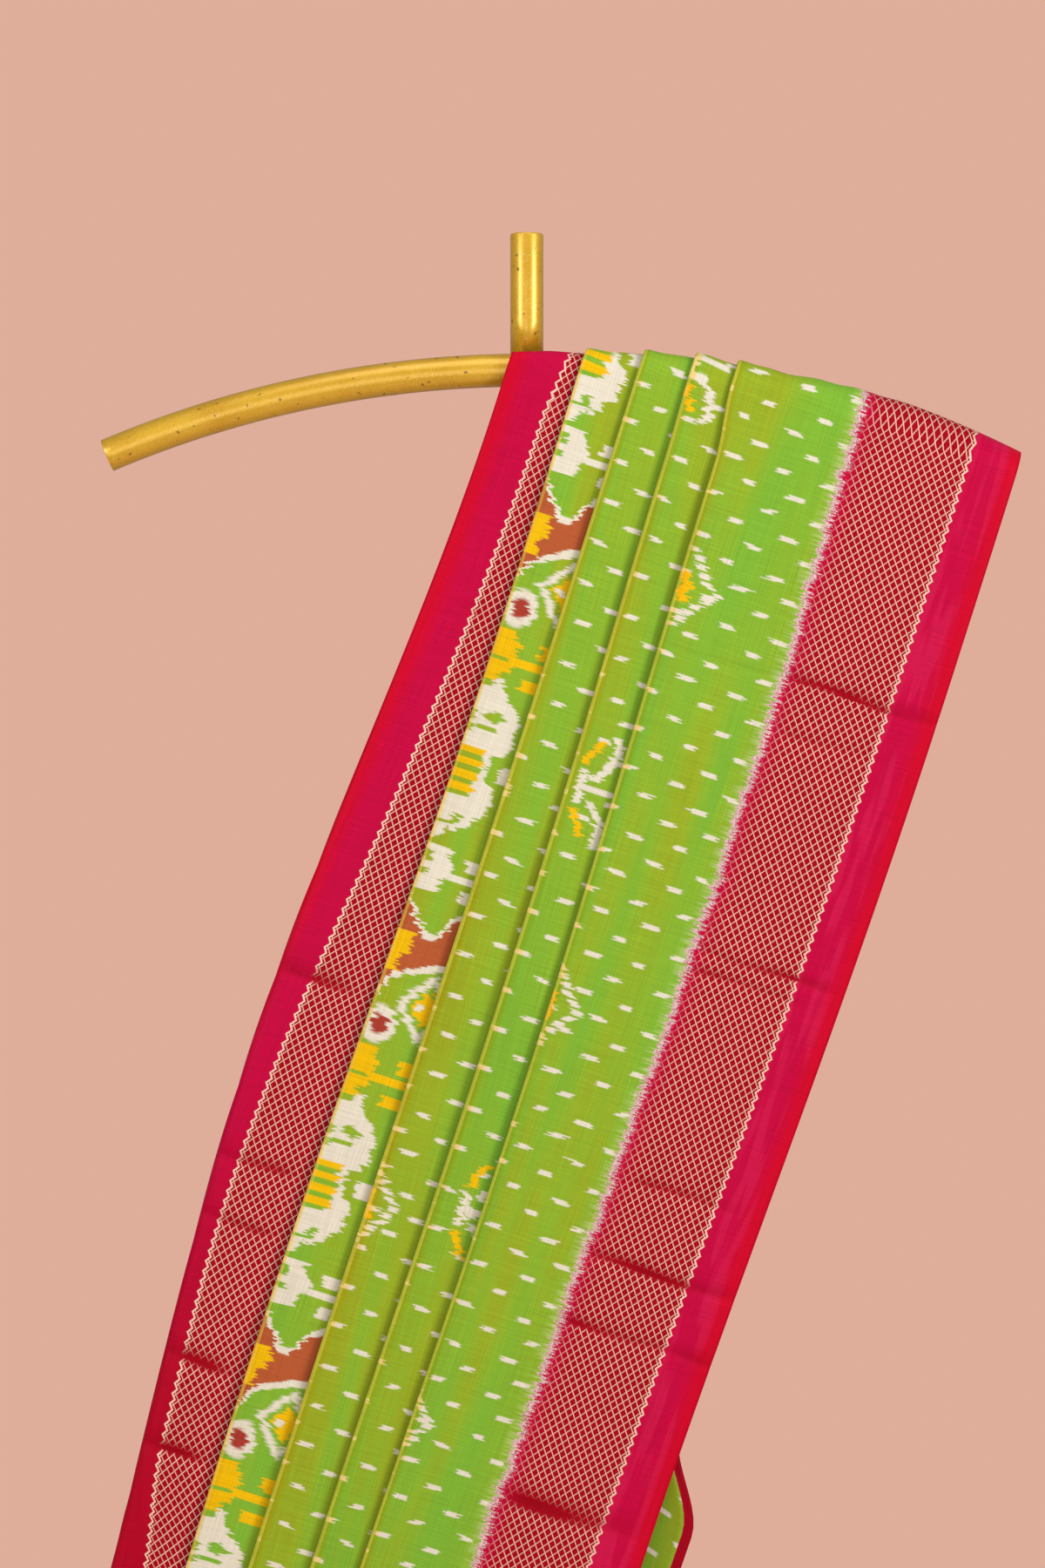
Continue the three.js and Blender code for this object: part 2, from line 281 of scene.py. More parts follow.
class Section:
    """The cloth's middle surface across the bundle, point by point from the left selvage.

    A station counts the cloth's own key lines: 0 left selvage, then for each pleat the line
    where it is covered (odd) and its fold edge (even), and 9 the right selvage.
    """

    def __init__(self):
        self.points = []
        border = PLEATS[0] - AT_BAR[0]
        near_edge = 1 - np.array(NEAR_COVER) / border
        steps = np.linspace(0, near_edge[0], BORDER_STEPS)[:-1]
        self.panel(0, AT_BAR[0], PLEATS[0], np.concatenate([steps, near_edge]))
        for index, at_bar in enumerate(PLEATS):
            self.tuck(index, at_bar)
            edge = AT_BAR[index + 2]
            wide = index == len(PLEATS) - 1
            width = edge - at_bar
            near_fold = np.array(NEAR_FOLD) / width
            near_edge = 1 - np.array(NEAR_SELVAGE if wide else NEAR_COVER) / width
            count = WIDE_PANEL_STEPS if wide else PANEL_STEPS
            steps = np.linspace(near_fold[-1], near_edge[0], count)[1:-1]
            self.panel(index + 1, at_bar, edge, np.concatenate([near_fold, steps, near_edge]))
        columns = np.array(self.points).T
        self.across, self.height, self.lip, self.station, self.from_fold, self.to_cover = columns

    def add(self, across, height, lip, station, from_fold=LIP_REACH, to_cover=OPEN):
        self.points.append((across, float(height), float(lip), station, from_fold, to_cover))

    def panel(self, index, start, end, shares):
        for share in shares:
            across = start + share * (end - start)
            from_fold = across - start if index else LIP_REACH
            lip = lip_rise(from_fold) if index else 0
            to_cover = end - across if index < len(PLEATS) else OPEN
            self.add(across, layer_height(index, across), lip, 2 * index + share, from_fold, to_cover)

    def tuck(self, index, at_bar):
        """Cloth that runs on under a pleat, turns back and comes up to the pleat's fold edge."""
        covered = 2 * index + 1
        end = at_bar + TUCK
        turn = LAYER_PITCH / 2
        for across in np.linspace(at_bar, end - turn, TUCK_OUT_STEPS)[1:]:
            self.add(across, layer_height(index, across), 0, covered + 0.5 * (across - at_bar) / TUCK)
        below = layer_height(index, end)
        for angle in np.radians(TUCK_TURN_ANGLES):
            across = end + turn * (math.cos(angle) - 1)
            self.add(across, below + turn * (1 + math.sin(angle)), 0, covered + 0.5)
        farthest, *nearer = at_bar + np.array(NEAR_FOLD_UNDER)
        for across in (*np.linspace(end - turn, farthest, TUCK_BACK_STEPS), *nearer):
            station = covered + 1 - 0.5 * (across - at_bar) / TUCK
            lip = UNDER_LIP_SHARE * lip_rise(across - at_bar)
            self.add(across, layer_height(index, across) + LAYER_PITCH, lip, station)
        base = layer_height(index, at_bar) + 1.5 * LAYER_PITCH
        under_lip = UNDER_LIP_SHARE * LIP_HEIGHT
        radius = (LAYER_PITCH + LIP_HEIGHT - under_lip) / 2
        for angle in np.radians(np.linspace(-90, 90, FOLD_TURN_STEPS)):
            side = math.sin(angle)
            lip = (LIP_HEIGHT + under_lip) / 2 + side * (LIP_HEIGHT - under_lip) / 2
            across = at_bar + radius * (1 - math.cos(angle))
            self.add(across, base + side * LAYER_PITCH / 2, lip, covered + 1, 0)


def flat_across(section, lines, fall, border):
    """Distance of each point from the left selvage, measured on the flat cloth."""
    knots = [0, border]
    place = AT_BAR[1] - AT_BAR[0]
    for index, slip in enumerate(FOLD_SLIP):
        place += 2 * TUCK
        fold = place + slip * fall + SPREAD[index + 1] * ease(fall / SPREAD_FALL)
        knots += [fold, fold + lines[index + 2] - lines[index + 1]]
        place += AT_BAR[index + 2] - AT_BAR[index + 1]
    knots[-1] = FLAT_WIDTH
    return np.interp(section.station, np.arange(len(knots)), knots)


def crease_relief(flat, along):
    """Depth of the border creases, and the painted shade where the creases tilt each point away from the
    light.
    """
    depth = np.zeros_like(flat)
    painted_shade = np.zeros_like(flat)
    for side, place, above, below, deepest, nearest, farthest in CREASES:
        from_selvage = flat if side == "left" else FLAT_WIDTH - flat
        reach = ease((from_selvage - nearest) / CREASE_END_SOFTNESS)
        reach = reach * ease((farthest - from_selvage) / CREASE_END_SOFTNESS)
        wander = CREASE_WANDER * np.sin(from_selvage / CREASE_WANDER_WAVE + place)
        down = along - place - wander
        falling = ease((down + above) / above) * (down <= 0)
        rising = (1 - ease(down / below)) * (down > 0)
        depth = depth + deepest * reach * (falling + rising)
        fade = np.sin(from_selvage / CREASE_FADE_WAVE + CREASE_FADE_STEP * place)
        strength = np.minimum(1, deepest / CREASE_FULL_DEPTH) * (1 - CREASE_FADE + CREASE_FADE * fade)
        painted_shade = np.maximum(painted_shade, reach * strength * (falling + rising))
    return depth, painted_shade


def soft_billow(flat, along):
    """Slow unevenness of the hanging cloth."""
    waves = np.sin(flat / BILLOW_ACROSS[0] + along / BILLOW_DOWN[0])
    waves = waves * np.sin(flat / BILLOW_ACROSS[1] + along / BILLOW_DOWN[1])
    drag = np.sin(flat / DRAG_ACROSS[0] + along / DRAG_DOWN) * np.sin(flat / DRAG_ACROSS[1] + 1)
    return BILLOW * waves + DRAG * drag


def gathered(across, line):
    return line + GATHER_SOFTNESS * np.log1p(np.exp((across - line) / GATHER_SOFTNESS))


def stand_off(across):
    return STAND_OFF * ease((across - STAND_OFF_START) / (STAND_OFF_END - STAND_OFF_START))


def bulge_share(across):
    return ease((BULGE_FROM - across) / (BULGE_FROM - BULGE_FULL))


def from_fall(across, along, depth):
    """From across the fall, along the fall and front to back, to the part's own axes."""
    x = across * LEAN_COSINE - along * LEAN_SINE
    z = BAR_CROWN_Z - across * LEAN_SINE - along * LEAN_COSINE
    return np.stack([x, np.broadcast_to(depth, x.shape), z], axis=-1)


def front_row(section, fall):
    lines = front_lines(fall)
    across = np.interp(section.across, AT_BAR, lines)
    rolled = ROLL_UNDER * ease((fall - ROLL_START) / (ROLL_FULL - ROLL_START))
    release_start, release_end, release = ROLL_RELEASE
    rolled = rolled * (1 - release * ease((fall - release_start) / (release_end - release_start)))
    radius = LEAST_ROLL_RADIUS + ROLL_RADIUS * ease((fall - ROUNDING_START) / ROUNDING_FALL)
    quarter = radius * math.pi / 2
    border = lines[1] - lines[0] + rolled + quarter - radius
    flat = flat_across(section, lines, fall, border)

    # The left edge rolls under: a half turn, then flat behind the front
    on_border = section.station <= 1
    from_edge = np.abs(flat - rolled)
    bend = np.minimum(from_edge / radius, math.pi / 2)
    behind = np.where(flat > rolled, radius * (1 - np.sin(bend)), radius * (1 + np.sin(bend)))
    rolled_across = lines[0] + radius * (1 - np.cos(bend)) + np.maximum(0, from_edge - quarter)
    across = np.where(on_border, rolled_across, across)
    behind = np.where(on_border, behind, 0)

    start = bar_place(across)
    along = fall + start * (1 - ease(fall / STRAIGHT_WEFT_BELOW))
    share = (along - start) / (FRONT_FALL - start)
    bulge = BULGE * bulge_share(across) * (1 - ease((along - start) / BULGE_FALL))
    easing = 1 - ease(share / STAND_OFF_SHARE)
    lip_share = LIP_PRESS_ON_BAR + (1 - LIP_PRESS_ON_BAR) * ease(fall / LIP_FREE_BELOW)
    uneven = np.sin(along / LIP_UNEVEN_WAVE + section.station * LIP_UNEVEN_STEP)
    lip_share = lip_share * (1 + LIP_UNEVEN * uneven)

    shown = (section.station % 2 <= 1) & ~((section.station % 2 == 0) & (section.station > 0))
    to_next = np.ceil(section.station) - section.station
    covered_soon = np.where(section.station < LAST_FOLD, ease(to_next * COVER_FADE_RATE), 1)
    hanging = ease((fall - RELIEF_START) / RELIEF_FALL)
    free = shown * covered_soon * ease(section.from_fold / LIP_REACH) * hanging
    # The creases dip the surface, and also give painted shade
    crease, painted_shade = crease_relief(flat, along)
    billow = soft_billow(flat, along) * free
    relief = billow - crease * free
    height = section.height + lip_share * section.lip + relief
    depth = -(CLOTH_SEAT + stand_off(across) * easing + bulge + height - behind)
    wavy = ease((fall - WEFT_WAVE_START) / WEFT_WAVE_FALL)
    wave = WEFT_WAVE * np.sin(flat / WEFT_WAVE_REACH) * wavy
    return from_fall(across, along, depth), flat, along + wave * on_border, painted_shade * free


def bar_row(section, angle):
    gather = np.interp(angle, GATHER_ANGLES, GATHER_LINES)
    moved = gathered(section.across, gather)
    bulge = bulge_share(section.across) if angle < 90 else np.zeros_like(moved)
    power = 2 / (2 + BULGE_SQUARENESS * bulge)
    turn = math.radians(angle)
    cosine = np.sign(math.cos(turn)) * abs(math.cos(turn)) ** power
    rise = math.sin(turn) ** power
    off = stand_off(section.across) + section.height + LIP_PRESS_ON_BAR * section.lip
    slant = 1 / np.sqrt(1 - (moved / BAR_ARC_RADIUS - LEAN_SINE) ** 2)
    start = bar_place(moved)
    points = from_fall(
        moved,
        start - (CLOTH_SEAT * slant + off) * rise,
        -(CLOTH_SEAT + off + BULGE * bulge) * cosine,
    )
    border = AT_BAR[1] - AT_BAR[0]
    flat = flat_across(section, AT_BAR, 0, border)
    return points, flat, start - CLOTH_SEAT * turn, np.zeros_like(flat)


def back_row(section, fall):
    lines = back_lines(fall)
    gather = GATHER_LINES[-1] + (NO_GATHER - GATHER_LINES[-1]) * ease(fall / GATHER_RELEASE)
    across = gathered(np.interp(section.across, AT_BAR, lines), gather)
    start = bar_place(across)
    share = fall / BACK_FALL
    along = start + share * (BACK_FALL - start)
    easing = 1 - ease(share / STAND_OFF_SHARE)
    lip_share = LIP_PRESS_ON_BAR + (1 - LIP_PRESS_ON_BAR) * ease(fall / LIP_FREE_BELOW)
    height = section.height + lip_share * section.lip
    flat = flat_across(section, lines, 0, lines[1] - lines[0])
    free = (section.station >= BACK_RELIEF) * ease((fall - RELIEF_START) / RELIEF_FALL)
    height = height + free * soft_billow(flat, -along)
    folded = ease((fall - BORDER_FOLD_START) / (BORDER_FOLD_FULL - BORDER_FOLD_START))
    from_strip = AT_BAR[-1] - section.across - SELVAGE_STRIP
    before_strip = from_strip > -SELVAGE_GAP / 2
    near_strip = before_strip * (1 - ease(from_strip / BORDER_FOLD_REACH))
    height = height - BORDER_FOLD_STEP * folded * near_strip

    # The border's fold shows by a small step and by the pattern, which skips the cloth folded under
    flat = flat - BORDER_FOLD * folded * before_strip * np.clip(section.station - LAST_COVER, 0, 1)
    points = from_fall(across, along, CLOTH_SEAT + stand_off(across) * easing + height)
    # The selvage strip beside the fold gets painted shadow, for the front fall's shadow on it, carried with
    # the painted shade of the creases
    return points, flat, 2 * start - math.pi * CLOTH_SEAT - along, folded * ~before_strip


def front_falls():
    """Rows down the front, closer together at the creases."""
    falls = list(np.linspace(0, FRONT_FALL, round(FRONT_FALL / FRONT_PITCH)))
    for _, place, above, below, *_ in CREASES:
        falls += [place - above, place - CREASE_HALFWAY * above, place + below]
        falls += [place + step * CREASE_ROW_PITCH for step in (-2, -1, 0, 1)]
    kept = []
    for fall in sorted(falls, reverse=True):
        if not kept or kept[-1] - fall > LEAST_ROW_PITCH:
            kept.append(fall)
    kept[-1] = 0
    return kept


def back_falls():
    """Rows down the back, closer together at the flare."""
    even = np.linspace(0, BACK_FALL, BACK_ROWS)
    outside = (even < FLARE_START - FLARE_ROW_PITCH) | (even > FLARE_END + FLARE_ROW_PITCH)
    flare = np.arange(FLARE_START, FLARE_END + 1, FLARE_ROW_PITCH)
    return np.sort(np.concatenate([even[outside], flare]))


def cloth_rows(section):
    rows = [front_row(section, fall) for fall in front_falls()]
    rows += [bar_row(section, angle) for angle in np.linspace(0, 180, BAR_ROWS + 2)[1:-1]]
    rows += [back_row(section, fall) for fall in back_falls()]
    return [np.array(part) for part in zip(*rows)]


def grid_faces(rows, columns):
    corner = np.arange(rows * columns).reshape(rows, columns)
    quads = np.stack([corner[:-1, :-1], corner[:-1, 1:], corner[1:, 1:], corner[1:, :-1]], axis=-1)
    return quads.reshape(-1, 4)


def new_object(name, mesh, material):
    piece = bpy.data.objects.new(name, mesh)
    bpy.context.scene.collection.objects.link(piece)
    mesh.materials.append(material)
    return piece


def baked(piece):
    """Turns the piece with its modifiers into a plain mesh."""
    graph = bpy.context.evaluated_depsgraph_get()
    mesh = bpy.data.meshes.new_from_object(piece.evaluated_get(graph))
    piece.modifiers.clear()
    piece.data = mesh
    return piece


def add_point_values(mesh, name, values):
    attribute = mesh.attributes.new(name, "FLOAT", "POINT")
    attribute.data.foreach_set("value", values.ravel().astype(np.float32))


def silk_cloth(material):
    section = Section()
    points, flat, along, painted_shade = cloth_rows(section)
    rows, columns = flat.shape
    faces = grid_faces(rows, columns)
    mesh = bpy.data.meshes.new("silk_cloth")
    mesh.from_pydata((points.reshape(-1, 3) * MM).tolist(), [], faces.tolist())
    mesh.polygons.foreach_set("use_smooth", np.ones(len(faces), dtype=bool))
    corners = np.empty(len(mesh.loops), dtype=np.int32)
    mesh.loops.foreach_get("vertex_index", corners)
    places = np.stack([flat.ravel(), along.ravel()], axis=-1)[corners] * MM
    mesh.uv_layers.new(name="flat").data.foreach_set("uv", places.ravel())
    add_point_values(mesh, "from_fold", np.tile(section.from_fold, rows))
    add_point_values(mesh, "to_cover", np.tile(section.to_cover, rows))
    # Painted shade for the creases and the back fall's selvage strip, used by the silk's finish
    add_point_values(mesh, "crease", painted_shade)
    piece = new_object("silk_cloth", mesh, material)
    thickness = piece.modifiers.new("thickness", "SOLIDIFY")
    thickness.thickness = SILK_THICKNESS * MM
    thickness.offset = 0
    return baked(piece)


# Hanger

def tube_tree(material):
    """An arc of round tube in the XZ plane, as a node tree with its sizes as inputs."""
    tree = bpy.data.node_groups.new("arched_tube", "GeometryNodeTree")
    face = tree.interface
    face.new_socket("Geometry", in_out="INPUT", socket_type="NodeSocketGeometry")
    sizes = {}
    for name in ("Arc radius", "Half angle", "Tube radius", "Crown height"):
        sizes[name] = face.new_socket(name, in_out="INPUT", socket_type="NodeSocketFloat").identifier
    face.new_socket("Geometry", in_out="OUTPUT", socket_type="NodeSocketGeometry")

    def node(kind, settings, sockets):
        made = tree.nodes.new(kind)
        for name, value in settings.items():
            setattr(made, name, value)
        for name, value in sockets.items():
            if isinstance(value, bpy.types.NodeSocket):
                tree.links.new(value, made.inputs[name])
            else:
                made.inputs[name].default_value = value
        return made

    def math_node(operation, first, second):
        return node("ShaderNodeMath", {"operation": operation}, {0: first, 1: second}).outputs[0]

    inputs = tree.nodes.new("NodeGroupInput").outputs
    arc = node("GeometryNodeCurveArc", {"mode": "RADIUS"}, {
        "Resolution": BAR_ARC_STEPS,
        "Radius": inputs["Arc radius"],
        "Start Angle": math_node("SUBTRACT", math.pi / 2, inputs["Half angle"]),
        "Sweep Angle": math_node("MULTIPLY", inputs["Half angle"], 2),
    })
    centre_height = math_node("SUBTRACT", inputs["Crown height"], inputs["Arc radius"])
    place = node("ShaderNodeCombineXYZ", {}, {"Z": centre_height}).outputs[0]
    raised = node("GeometryNodeTransform", {}, {
        "Geometry": arc.outputs[0],
        "Translation": place,
        "Rotation": (math.pi / 2, 0, 0),
    })
    ring = node("GeometryNodeCurvePrimitiveCircle", {}, {
        "Resolution": TUBE_SIDES,
        "Radius": inputs["Tube radius"],
    })
    tube = node("GeometryNodeCurveToMesh", {}, {
        "Curve": raised.outputs[0],
        "Profile Curve": ring.outputs[0],
    })
    smooth = node("GeometryNodeSetShadeSmooth", {}, {"Geometry": tube.outputs[0]})
    real = node("GeometryNodeRealizeInstances", {}, {"Geometry": smooth.outputs[0]})
    painted = node("GeometryNodeSetMaterial", {}, {"Geometry": real.outputs[0], "Material": material})
    output = tree.nodes.new("NodeGroupOutput")
    tree.links.new(painted.outputs[0], output.inputs[0])
    return tree, sizes


def arched_bar(material):
    piece = new_object("arched_bar", bpy.data.meshes.new("arched_bar"), material)
    tree, sizes = tube_tree(material)
    tube = piece.modifiers.new("tube", "NODES")
    tube.node_group = tree
    tube[sizes["Arc radius"]] = BAR_ARC_RADIUS * MM
    tube[sizes["Half angle"]] = math.radians(BAR_HALF_ANGLE)
    tube[sizes["Tube radius"]] = TUBE_RADIUS * MM
    tube[sizes["Crown height"]] = BAR_CROWN_Z * MM
    wall = piece.modifiers.new("wall", "SOLIDIFY")
    wall.thickness = TUBE_WALL * MM
    wall.offset = -1
    edge = piece.modifiers.new("edge", "BEVEL")
    edge.width = BAR_EDGE_ROUND * MM
    edge.segments = BAR_EDGE_STEPS
    edge.limit_method = "ANGLE"
    edge.angle_limit = math.radians(SHARP_ANGLE)
    return baked(piece)


def bar_top(x, y):
    """Height of the bar's upper face at a point seen from above, with the weld gap."""
    axis = BAR_CROWN_Z - BAR_ARC_RADIUS + math.sqrt(BAR_ARC_RADIUS**2 - x * x)
    radius = TUBE_RADIUS + WELD_GAP
    return axis + math.sqrt(max(0, radius**2 - y * y))


def upright(material):
    """A short tube closed at its top, its foot cut to a saddle on the bar."""
    sides = TUBE_SIDES
    inner = TUBE_RADIUS - TUBE_WALL
    rings = [(CAP_MIDDLE, 0)]
    for turn in np.radians(np.linspace(90, 0, UPRIGHT_EDGE_STEPS)):
        rim = TUBE_RADIUS - UPRIGHT_EDGE_ROUND * (1 - math.cos(turn))
        rings.append((rim, UPRIGHT_EDGE_ROUND * (math.sin(turn) - 1)))
    # A ring without a height lies on the bar
    rings += [(TUBE_RADIUS, height) for height in (*UPRIGHT_RINGS, None)]
    rings += [(inner, None), (inner, -UPRIGHT_TOP_THICKNESS), (CAP_MIDDLE, -UPRIGHT_TOP_THICKNESS)]
    points = []
    for radius, height in rings:
        for side in range(sides):
            angle = 2 * math.pi * side / sides
            x = radius * math.cos(angle)
            y = radius * math.sin(angle)
            z = bar_top(x, y) if height is None else height
            points.append((x * MM, y * MM, z * MM))
    faces = []
    for ring in range(len(rings) - 1):
        for side in range(sides):
            after = (side + 1) % sides
            upper = ring * sides
            lower = upper + sides
            faces.append((upper + side, lower + side, lower + after, upper + after))
    faces.append(tuple(range(sides)))
    last = (len(rings) - 1) * sides
    faces.append(tuple(last + side for side in reversed(range(sides))))
    mesh = bpy.data.meshes.new("upright")
    mesh.from_pydata(points, [], faces)
    mesh.polygons.foreach_set("use_smooth", np.ones(len(faces), dtype=bool))
    return new_object("upright", mesh, material)


# Materials

def srgb(red, green, blue):
    """A colour given as 0 to 255 screen values, as the linear colour that a socket takes."""
    def linear(part):
        part = part / 255
        return part / 12.92 if part <= 0.04045 else ((part + 0.055) / 1.055) ** 2.4
    return linear(red), linear(green), linear(blue), 1


class Value:
    """A number socket that takes arithmetic: each operator adds one Math node."""

    def __init__(self, finish, socket):
        self.finish = finish
        self.socket = socket

    def __add__(self, other):
        return self.finish.math("ADD", self, other)

    def __sub__(self, other):
        return self.finish.math("SUBTRACT", self, other)

    def __rsub__(self, other):
        return self.finish.math("SUBTRACT", other, self)

    def __mul__(self, other):
        return self.finish.math("MULTIPLY", self, other)

    def __truediv__(self, other):
        return self.finish.math("DIVIDE", self, other)

    def __abs__(self):
        return self.finish.math("ABSOLUTE", self)

    __radd__ = __add__
    __rmul__ = __mul__

    def floor(self):
        return self.finish.math("FLOOR", self)

    def fract(self):
        return self.finish.math("FRACT", self)

    def above(self, edge, soft):
        """0 below the edge, 1 above it."""
        return self.finish.math("MULTIPLY_ADD", self - edge, 1 / soft, 0.5, clamp=True)

    def span(self, low, high, soft):
        """1 between two edges."""
        half = (high - low) * 0.5
        middle = (high + low) * 0.5
        return self.finish.math("MULTIPLY_ADD", half - abs(self - middle), 1 / soft, 0.5, clamp=True)


class Finish:
    """A node material on one Principled shader."""

    def __init__(self, name):
        self.material = bpy.data.materials.new(name)
        self.material.use_nodes = True
        self.nodes = self.material.node_tree.nodes
        self.links = self.material.node_tree.links
        self.shader = self.nodes["Principled BSDF"]

    def feed(self, socket, value):
        if isinstance(value, Value):
            value = value.socket
        if isinstance(value, bpy.types.NodeSocket):
            self.links.new(value, socket)
        else:
            socket.default_value = value

    def node(self, kind, settings, sockets):
        made = self.nodes.new("ShaderNode" + kind)
        for name, value in settings.items():
            if name == "stops":
                self.set_stops(made.color_ramp.elements, value)
            else:
                setattr(made, name, value)
        for name, value in sockets.items():
            self.feed(made.inputs[name], value)
        return made

    def set_stops(self, elements, stops):
        while len(elements) < len(stops):
            elements.new(0.5)
        for element, (place, colour) in zip(elements, stops):
            element.position = place
            element.color = colour

    def math(self, operation, *values, clamp=False):
        made = self.node("Math", {"operation": operation, "use_clamp": clamp}, dict(enumerate(values)))
        return Value(self, made.outputs[0])

    def greatest(self, *masks):
        total = masks[0]
        for mask in masks[1:]:
            total = self.math("MAXIMUM", total, mask)
        return total

    def mix(self, factor, first, second, blend="MIX"):
        settings = {"data_type": "RGBA", "blend_type": blend}
        return self.node("Mix", settings, {0: factor, 6: first, 7: second}).outputs[2]

    def place(self, x, y, z=0.0):
        return self.node("CombineXYZ", {}, {"X": x, "Y": y, "Z": z}).outputs[0]

    def noise(self, x, y, seed, detail=0.0):
        sockets = {"Vector": self.place(x, y, seed), "Scale": 1.0, "Detail": detail}
        return Value(self, self.node("TexNoise", {}, sockets).outputs[0])

    def scatter(self, x, y):
        """Three random numbers for each whole-numbered cell."""
        cell = self.node("TexWhiteNoise", {"noise_dimensions": "2D"}, {"Vector": self.place(x, y)})
        parts = self.node("SeparateColor", {}, {0: cell.outputs["Color"]})
        return [Value(self, part) for part in parts.outputs]

    def chart(self, down, rows, length, low, high):
        """Edges charted down a motif: each row is a place and up to three edges."""
        stops = []
        for place, *edges in rows:
            scaled = [(edge - low) / (high - low) for edge in edges] + [0, 0, 0]
            stops.append((place / length, (*scaled[:3], 1)))
        ramp = self.node("ValToRGB", {"stops": stops}, {0: down / length})
        parts = self.node("SeparateColor", {}, {0: ramp.outputs[0]})
        return [Value(self, part) * (high - low) + low for part in parts.outputs]

    def attribute(self, name):
        return Value(self, self.node("Attribute", {"attribute_name": name}, {}).outputs["Fac"])


CREAM = srgb(232, 224, 204)
YELLOW = srgb(243, 192, 8)
BROWN = srgb(184, 92, 52)
RUST = srgb(170, 62, 48)
GREEN = srgb(128, 183, 54)
LIME = srgb(150, 181, 42)
OLIVE = srgb(158, 166, 34)
# Painted sheen tint along the folds, for the warp colour shot silk shows at grazing angles
PAINTED_FOLD_SHEEN = (1.08, 0.82, 0.3, 1)
# Painted highlight along the fold edges
FOLD_EDGE_HIGHLIGHT = srgb(226, 208, 84)
CRIMSON = srgb(208, 3, 42)
DEEP_CRIMSON = srgb(176, 2, 28)
MAGENTA = srgb(198, 4, 64)
LATTICE_GROUND = srgb(166, 2, 26)
LATTICE_THREAD = srgb(252, 214, 190)
RAGGED_PINK = srgb(230, 198, 198)
# Painted sheen on the plain band
PAINTED_SHEEN_PINK = srgb(222, 40, 92)
RAGGED_RED = srgb(160, 16, 60)
WISP = srgb(206, 216, 150)
GOLD = srgb(222, 166, 16)
LIGHT_GOLD = srgb(234, 184, 34)
GOLD_SPECK = srgb(248, 220, 120)
GOLD_PIT = srgb(96, 62, 14)
FLOOR = srgb(228, 196, 182)
LIGHT_FLOOR = srgb(236, 208, 196)
BACKDROP = srgb(223, 174, 155)
ROOM_LIGHT = srgb(245, 235, 228)

# Finishes
SILK_ROUGHNESS = 0.56
SILK_SPECULAR = 0.06
SILK_SHEEN = 0.02
SILK_SHEEN_ROUGHNESS = 0.4
WEAVE_DEPTH = 0.25
WEAVE_STRENGTH = 0.35
THREAD_SMOOTHER = 0.16
THREAD_METAL = 0.3
PAINT_ROUGHNESS = 0.36
PAINT_METAL = 0.45
PAINT_COAT = 0.6
PAINT_COAT_ROUGHNESS = 0.24
PAINT_GRAIN_DEPTH = 0.2
PAINT_GRAIN_STRENGTH = 0.25
FLOOR_ROUGHNESS = 0.85

# Layout of the flat cloth, from the selvage inwards
PLAIN_BAND = 37
RAGGED_LINE = 126
WIDER_AT_BAR = 6
LATTICE_WIDTH = 6.2
LATTICE_HEIGHT = 8.2
PATTERN_REPEAT = 342.5
DASH_PITCH = (41, 32.2)
WEFT = 1.15
WEFT_GROUP = 3.4
FOLD_PLACES = PLEATS + SPREAD[1:5] - AT_BAR[0] + 2 * TUCK * np.arange(1, 5)

# Charts of the animal band. Places are down from the top of the large animal, edges across
# from the fold. A place is across then down, and so is a size.
HIDDEN = -20
FAR = 50
ANIMAL_TOP = 237
BAND_EDGES = (-30, 52)
EYE = (19, 31)
EYE_SIZE = (9.5, 5.6)
RING = (10, 286)
RING_SIZE = (13.5, 15.5)
LOZENGE = (42, 265)
LOZENGE_SIZE = (24, 28)
LOZENGE_SPOT = (33, 40, 262, 268)
BROWN_TOP = 170
BROWN_BOTTOM = 280
PALE_ANIMALS = (
    (0, 13, 16), (2, 11, 18), (9, 10, 18.5), (9.6, HIDDEN, 20), (16.4, HIDDEN, 25), (22, HIDDEN, 33.5),
    (29, HIDDEN, 38.5), (41, HIDDEN, 38.5), (53, HIDDEN, 37), (59, HIDDEN, 35), (59.4, 19, 27),
    (71, 21, 25), (82.5, 19, 27), (83.5, 19, 36), (97.3, 19, 36), (97.8, HIDDEN, 36), (110.3, HIDDEN, 33.5),
    (110.8, 17, 27), (120.6, 17, 27), (121, HIDDEN, 12.5), (135, HIDDEN, 4), (135.4, HIDDEN, HIDDEN),
    (138.6, HIDDEN, HIDDEN), (139, HIDDEN, 20), (146.6, HIDDEN, 20), (155, HIDDEN, 27), (158.5, HIDDEN, 26),
    (163.7, HIDDEN, 20), (175.4, HIDDEN, 19), (175.8, HIDDEN, HIDDEN),
)
PALE_BLOCKS = (
    (HIDDEN, 10.5, 110, 118.5), (12.5, 18.5, 120.6, 125.4), (22.5, FAR, 157.6, 163), (35, FAR, 144, 153.4),
    (39, FAR, 168.5, 178), (35, FAR, 66, 79.5),
)
GREEN_BLOCKS = (
    (5, 24, 39, 42.5), (-3, 4, 29, 37), (-3, 4.5, 40, 46), (-3, 5.5, 144, 153), (-3, 5.5, 158.5, 163.5),
)
YELLOW_BLOCKS = (
    (HIDDEN, 21, 57.5, 62.3), (HIDDEN, 21, 67, 72), (HIDDEN, 21, 76.7, 83), (HIDDEN, 21, 87, 93.2),
    (HIDDEN, 14.5, 210, 228), (HIDDEN, 8, 226, 243), (HIDDEN, 15, 304, 311), (HIDDEN, 20, 311, 326),
    (15, FAR, 324, 330.5), (HIDDEN, 18.5, 329, 337), (HIDDEN, 11.5, 335, 342.5), (HIDDEN, 11, 0, 3),
    (37.5, FAR, 309, 320.5), (30, FAR, 338.5, 343), (30, FAR, 0, 5),
)
